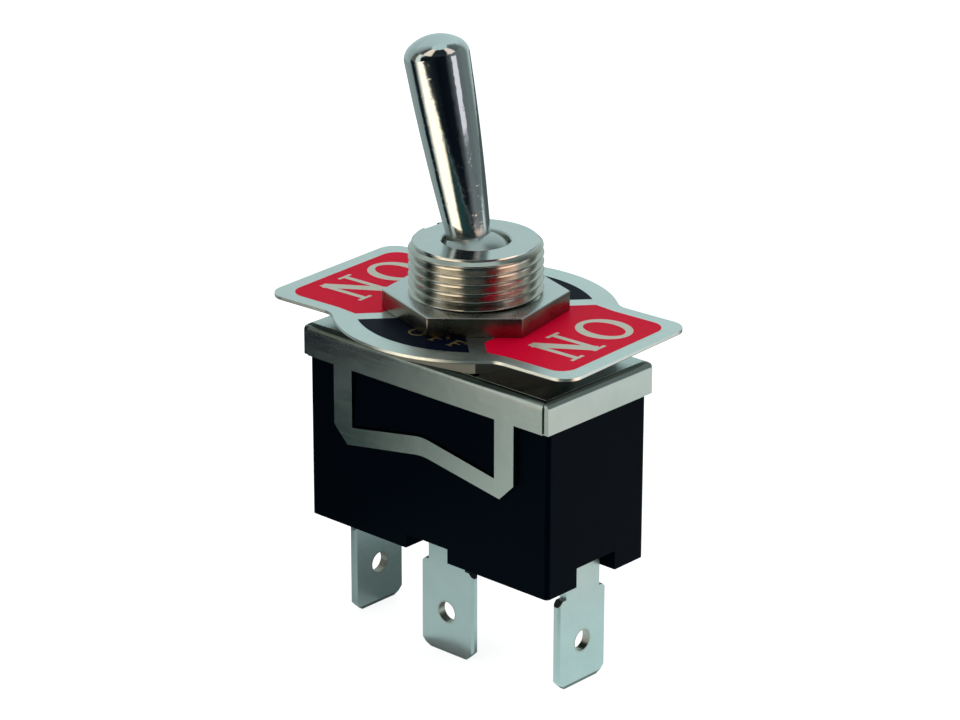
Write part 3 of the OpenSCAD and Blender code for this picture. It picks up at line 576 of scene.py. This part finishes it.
def cut(bm, tools):
    """Takes the tools' shapes out of a closed bmesh, worked in millimetres so that small faces survive."""
    def in_millimetres(shape, name):
        bmesh.ops.scale(shape, verts=shape.verts, vec=(1 / MM,) * 3)
        return put(shape, name)

    work = in_millimetres(bm, "work")
    shapes = [in_millimetres(tool, "tool") for tool in tools]
    for shape in shapes:
        modifier = work.modifiers.new("cut", "BOOLEAN")
        modifier.operation = "DIFFERENCE"
        modifier.solver = "EXACT"
        modifier.object = shape
    seen = work.evaluated_get(bpy.context.evaluated_depsgraph_get())
    result = bmesh.new()
    result.from_mesh(seen.to_mesh())
    seen.to_mesh_clear()
    bmesh.ops.scale(result, verts=result.verts, vec=(MM,) * 3)
    for done in shapes + [work]:
        bpy.data.objects.remove(done)
    return result


def all_of(bm):
    return bm.verts[:] + bm.edges[:] + bm.faces[:]


def lift(bm, faces, height):
    """Raises flat faces into a slab."""
    made = bmesh.ops.extrude_face_region(bm, geom=faces)
    top = [g for g in made["geom"] if isinstance(g, bmesh.types.BMVert)]
    bmesh.ops.translate(bm, verts=top, vec=(0, 0, height))


def thread_wall(bm, radius, depth, pitch, low, high, turns=96):
    """A helical thread from low to high: one column of teeth spun a turn while it climbs a pitch."""
    column, crest = [], 0.04 * MM
    level = low - pitch
    while level < high + pitch:
        for share, inset in ((0, depth), (0.34, crest), (0.42, 0), (0.5, crest), (0.84, depth)):
            column.append(bm.verts.new((radius - inset, 0, level + share * pitch)))
        level += pitch
    edges = [bm.edges.new(pair) for pair in zip(column, column[1:])]
    bmesh.ops.spin(bm, geom=column + edges, cent=(0, 0, 0), axis=(0, 0, 1), dvec=(0, 0, pitch / turns),
                   angle=2 * pi, steps=turns, use_merge=False)
    bmesh.ops.remove_doubles(bm, verts=bm.verts, dist=0.002 * MM)
    for level, normal in ((low, (0, 0, -1)), (high, (0, 0, 1))):
        bmesh.ops.bisect_plane(bm, geom=all_of(bm), dist=0.0005 * MM,
                               plane_co=(0, 0, level), plane_no=normal, clear_outer=True)


def turned(bm, profile, steps=96):
    """Spins an open profile of (radius, height) a whole turn."""
    column = [bm.verts.new((r, 0, z)) for r, z in profile]
    edges = [bm.edges.new(pair) for pair in zip(column, column[1:])]
    bmesh.ops.spin(bm, geom=column + edges, cent=(0, 0, 0), axis=(0, 0, 1), dvec=(0, 0, 0),
                   angle=2 * pi, steps=steps, use_merge=True)


def ring_at(bm, height, test):
    """The open edges of a ring at a height whose radius passes a test."""
    return [e for e in bm.edges if len(e.link_faces) == 1
            and all(abs(v.co.z - height) < 0.001 * MM and test(v.co.xy.length) for v in e.verts)]


def threaded_bushing():
    """The bushing with its thread, its seat for the lever's ball, the pin's slots and the keyway."""
    low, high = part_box("bushing")
    radius, top, foot = 5.95 * MM, high.z, low.z
    pivot, bore, lip, lip_edge = LEVER_PIVOT_Z, 4.15 * MM, 3.0 * MM, 0.12 * MM
    chamfer, depth, pitch = 0.45 * MM, 0.47 * MM, 0.794 * MM
    spigot, stake, sheet = 5.1 * MM, 5.45 * MM, -0.5 * MM
    bm = bmesh.new()
    thread_wall(bm, radius, depth, pitch, 0, top)
    for level in (top - chamfer, top - 0.66 * chamfer, top - 0.33 * chamfer):
        bmesh.ops.bisect_plane(bm, geom=all_of(bm), dist=0.0005 * MM,
                               plane_co=(0, 0, level), plane_no=(0, 0, 1))
    for vert in bm.verts:
        limit = radius - max(0, vert.co.z - (top - chamfer))
        reach = vert.co.xy.length
        if reach > limit:
            vert.co.xy *= limit / reach
    seat = [(bore * cos(radians(a)), pivot + bore * sin(radians(a))) for a in range(0, 40, 8)]
    seat.append((lip, pivot + sqrt(bore ** 2 - lip ** 2)))
    profile = [(spigot, 0), (spigot, sheet), (stake, sheet), (stake, foot), (bore, foot)] + seat
    profile += [(lip, top - lip_edge), (lip + lip_edge, top)]
    turned(bm, profile)
    for level, inner in ((0, spigot), (top, lip + lip_edge)):
        small = ring_at(bm, level, lambda r: r < inner + 0.01 * MM)
        large = ring_at(bm, level, lambda r: r > inner + 0.05 * MM)
        bmesh.ops.triangle_fill(bm, use_beauty=True, edges=small + large)
    bmesh.ops.recalc_face_normals(bm, faces=bm.faces)
    keyway = block((1.6 * MM, 1.9 * MM, 30 * MM), (-radius, 0, 9.5 * MM))
    slot = block((1.6 * MM, 9.1 * MM, pivot - foot + 1 * MM), (0, 0, (pivot + foot - 1 * MM) / 2))
    bm = cut(bm, [keyway, slot])
    # The thread darker and warmer than the paler top face: painted shade on the thread, painted light on the face.
    finish = turned_nickel("nickel_thread", (0.42, 0.42, 0.38), (0.68, 0.66, 0.60), (0.66, 0.70, 0.69),
                           top - 0.1 * MM, 0.12)
    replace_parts(settle(bm, "threaded_bushing", finish, sharp=24), "bushing")


def front_nut():
    """The hexagon nut with its edges softened."""
    low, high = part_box("front_nut")
    across_flats, turn = 14.3 * MM, radians(41.5)
    corner = across_flats / sqrt(3)
    bm = bmesh.new()
    angles = [turn + k * pi / 3 for k in range(6)]
    bm.faces.new([bm.verts.new((corner * cos(a), corner * sin(a), low.z)) for a in angles])
    lift(bm, bm.faces[:], high.z - low.z)
    bmesh.ops.bevel(bm, geom=bm.edges[:], affect="EDGES", offset=0.14 * MM, segments=3, profile=0.5, material=-1)
    bore, sink = bmesh.new(), bmesh.new()
    bmesh.ops.create_cone(bore, cap_ends=True, segments=96, radius1=5.75 * MM, radius2=5.75 * MM, depth=10 * MM)
    bmesh.ops.translate(bore, verts=bore.verts, vec=(0, 0, low.z))
    bmesh.ops.create_cone(sink, cap_ends=True, segments=96, radius1=5.55 * MM, radius2=6.75 * MM, depth=1.2 * MM)
    bmesh.ops.translate(sink, verts=sink.verts, vec=(0, 0, high.z + 0.25 * MM))
    bm = cut(bm, [bore, sink])
    # The nut's flanks in dark brown under a pale face: painted shade and reflection on the flanks, painted light
    # on the face.
    finish = turned_nickel("nut_nickel", (0.15, 0.13, 0.10), (0.40, 0.36, 0.30), (0.66, 0.70, 0.69),
                           high.z - 0.08 * MM, 0.24)
    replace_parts(settle(bm, "softened_front_nut", finish, sharp=24), "front_nut")


def on_plate(bm, turn=0.0):
    """Turns a flat piece to its place on the legend plate's face."""
    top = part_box("legend_plate")[1].z
    bmesh.ops.rotate(bm, verts=bm.verts, cent=(0, 0, 0), matrix=Matrix.Rotation(PLATE_TURN + turn, 3, "Z"))
    bmesh.ops.translate(bm, verts=bm.verts, vec=(0, 0, top))


def red_field(name, turn, material):
    """The field on a wing and the part of the disc beside it, with the wing's two outer corners rounded."""
    c, s = cos(FIELD_ANGLE), sin(FIELD_ANGLE)
    inner, root, end, side, round_r = 5.8 / c, 9.6, 15.6, 7.3, 1.6
    lower = [(inner * c, -inner * s), (FIELD_R * c, -FIELD_R * s), (root, -side), (end, -side)]
    outline = lower + [(x, -y) for x, y in reversed(lower)]
    bm = bmesh.new()
    verts = [bm.verts.new((x * MM, y * MM, 0)) for x, y in outline]
    bm.faces.new(verts)
    bmesh.ops.bevel(bm, geom=verts[3:5], affect="VERTICES", offset=round_r * MM,
                    segments=8, profile=0.5, material=-1)
    lift(bm, bm.faces[:], INK_T * MM)
    on_plate(bm, turn)
    settle(bm, name, material)


def black_field(name, turn, material):
    """A sector of the disc, cut off at the nut and along the two bare lines."""
    bm = bmesh.new()
    bmesh.ops.create_circle(bm, cap_ends=True, segments=160, radius=FIELD_R * MM)
    band, nut_edge = 1.5 * MM, 5.9 * MM
    for side in (1, -1):
        normal = Vector((side * sin(FIELD_ANGLE), cos(FIELD_ANGLE), 0))
        bmesh.ops.bisect_plane(bm, geom=all_of(bm), plane_co=-normal * band,
                               plane_no=normal, clear_outer=True)
    bmesh.ops.bisect_plane(bm, geom=all_of(bm), plane_co=(0, -nut_edge, 0),
                           plane_no=(0, 1, 0), clear_outer=True)
    lift(bm, bm.faces[:], INK_T * MM)
    on_plate(bm, turn)
    settle(bm, name, material)


def bar(bm, start, end, width):
    """A flat stroke of a letter from start to end, square at both ends."""
    a, b = Vector(start), Vector(end)
    side = (b - a).orthogonal().normalized() * width / 2
    corners = [a - side, b - side, b + side, a + side]
    return [bm.faces.new([bm.verts.new((c.x * MM, c.y * MM, 0)) for c in corners])]


def ring(bm, centre, outer, inner):
    """A flat oval stroke between two ellipses, each (half width, half height)."""
    loops = []
    for half in (outer, inner):
        made = bmesh.ops.create_circle(bm, cap_ends=False, segments=64, radius=MM)
        bmesh.ops.scale(bm, verts=made["verts"], vec=(half[0], half[1], 1))
        bmesh.ops.translate(bm, verts=made["verts"], vec=(centre[0] * MM, centre[1] * MM, 0))
        loops += list({e for v in made["verts"] for e in v.link_edges})
    return bmesh.ops.bridge_loops(bm, edges=loops)["faces"]


def letter_o(bm, x, width, height):
    return [ring(bm, (x, 0), (width / 2, height / 2), (width / 2 - 0.17 * height, height / 2 - 0.11 * height))]


def letter_n(bm, x, width, height):
    half, thin, thick = width / 2, 0.1 * height, 0.2 * height
    top, foot = height / 2, -height / 2
    left, right = x - half + 0.1 * height, x + half - 0.1 * height
    strokes = [bar(bm, (left, top), (left, foot), thin), bar(bm, (right, top), (right, foot), thin),
               bar(bm, (left, top - 0.04 * height), (right, foot + 0.04 * height), thick)]
    for place, level in ((left - 0.02 * height, top), (right, top), (left, foot)):
        serif = level - 0.03 * height if level > 0 else level + 0.03 * height
        strokes.append(bar(bm, (place - 0.15 * height, serif), (place + 0.15 * height, serif), 0.06 * height))
    return strokes


def letter_f(bm, x, width, height):
    half, top, foot = width / 2, height / 2, -height / 2
    stem, edge = x - half + 0.2 * width, x + half - 0.04 * height
    return [bar(bm, (stem, top), (stem, foot), 0.17 * height),
            bar(bm, (x - half, top - 0.05 * height), (x + half, top - 0.05 * height), 0.1 * height),
            bar(bm, (stem, 0.02 * height), (x + 0.25 * width, 0.02 * height), 0.1 * height),
            bar(bm, (edge, top), (edge, top - 0.25 * height), 0.08 * height),
            bar(bm, (x - half, foot + 0.04 * height), (x, foot + 0.04 * height), 0.08 * height)]


def word(name, letters, place, turn, material):
    """Letters set in a row, turned about Z and put at a place on the plate.
    Each stroke stands a little higher than the one before, so no two share a face where they cross."""
    bm = bmesh.new()
    strokes = []
    for draw, x, width, height in letters:
        strokes += draw(bm, x, width, height)
    for number, faces in enumerate(strokes):
        lift(bm, faces, (0.02 + 0.001 * number) * MM)
    bmesh.ops.rotate(bm, verts=bm.verts, cent=(0, 0, 0), matrix=Matrix.Rotation(radians(turn), 3, "Z"))
    bmesh.ops.translate(bm, verts=bm.verts, vec=(place[0] * MM, place[1] * MM, 0.002 * MM))
    on_plate(bm)
    settle(bm, name, material)


def print_legend():
    """The four printed fields and the four words."""
    red = ink("ink_red", (0.84, 0.001, 0.034), (0.95, 0.002, 0.050))
    black = ink("ink_black", (0.0015, 0.003, 0.010), (0.004, 0.008, 0.024))
    silver = letter_metal("letter_silver", (0.66, 0.63, 0.50), (0.80, 0.76, 0.66))
    # Gold-tinted letters dimmed to near black in patches, with brighter patches: the tint is the letters' own, the
    # dimming painted shade from the nut and the bright patches painted glints.
    shaded_gold = letter_metal("letter_gold", (0.02, 0.016, 0.006), (0.36, 0.28, 0.09))
    red_field("red_field_right", 0, red)
    red_field("red_field_left", pi, red)
    black_field("black_field_front", 0, black)
    black_field("black_field_back", pi, black)
    on = ((letter_o, -2.8, 4.6, 5.3), (letter_n, 2.7, 4.0, 5.3))
    word("on_right", on, (11.7, 0.4), -90, silver)
    word("on_left", on, (-11.8, 0.1), -90, silver)
    off = ((letter_o, -2.4, 1.7, 1.5), (letter_f, 0.0, 1.3, 1.5), (letter_f, 2.0, 1.3, 1.5))
    word("off_front", off, (2.2, -7.7), 0, shaded_gold)
    word("off_back", off, (-2.2, 7.7), 180, shaded_gold)


# ---- Putting it together ----

def dress(node, material):
    """Gives a node of the frame its one material."""
    data = nodes[node].data
    data.materials.clear()
    data.materials.append(material)


def dress_frame():
    """Materials for every node, also for the two that pieces of the scene replace."""
    nickel = nickel_sheet()
    # Dark nickel for the parts under the plate, paler above 1.7 mm: painted shade, with painted light on that
    # upper face.
    shaded_nickel = turned_nickel("nut_nickel_back", (0.10, 0.11, 0.10), (0.16, 0.17, 0.16), (0.4, 0.45, 0.44),
                                  1.7 * MM, 0.3)
    brass = contact_brass("contact_brass", (0.55, 0.36, 0.14), (0.72, 0.52, 0.24))
    silver = contact_silver()
    dress("housing", phenolic())
    dress("insulator", fibre_sheet())
    dress("frame", nickel)
    dress("bushing", shaded_nickel)
    dress("back_nut", shaded_nickel)
    dress("front_nut", shaded_nickel)
    dress("lock_washer", spring_washer())
    dress("legend_plate", plate_aluminium())
    dress("lever", lever_chrome())
    dress("lever_pin", pin_steel())
    dress("plunger", nylon())
    dress("plunger_spring", spring_wire())
    dress("rocker", brass)
    dress("saddle", brass)
    dress("saddle_rivet", contact_brass("rivet_brass", (0.62, 0.50, 0.28), (0.78, 0.66, 0.40)))
    for side in ("left", "right"):
        dress("moving_contact_" + side, silver)
        dress("fixed_contact_" + side, silver)
    hole = cad_low.z + TAB_HOLE_UP
    # The left tab's tin at 0.62 and the common tab's at 0.9: painted shade.
    dress("terminal_left", tinned_brass("tinned_left", (-OUTER_TAB_X, 0, hole), (0, 1, 1), 0.62))
    dress("terminal_right", tinned_brass("tinned_right", (OUTER_TAB_X, 0, hole), (0, 1, 1)))
    dress("terminal_common", tinned_brass("tinned_common", (0, -COMMON_TAB_Y, hole), (1, 0, 1), 0.9))


make_camera()
studio_world()
make_lights()
make_floor()
make_cards()
dress_frame()
threaded_bushing()
front_nut()
print_legend()

scene.view_settings.view_transform = "Standard"
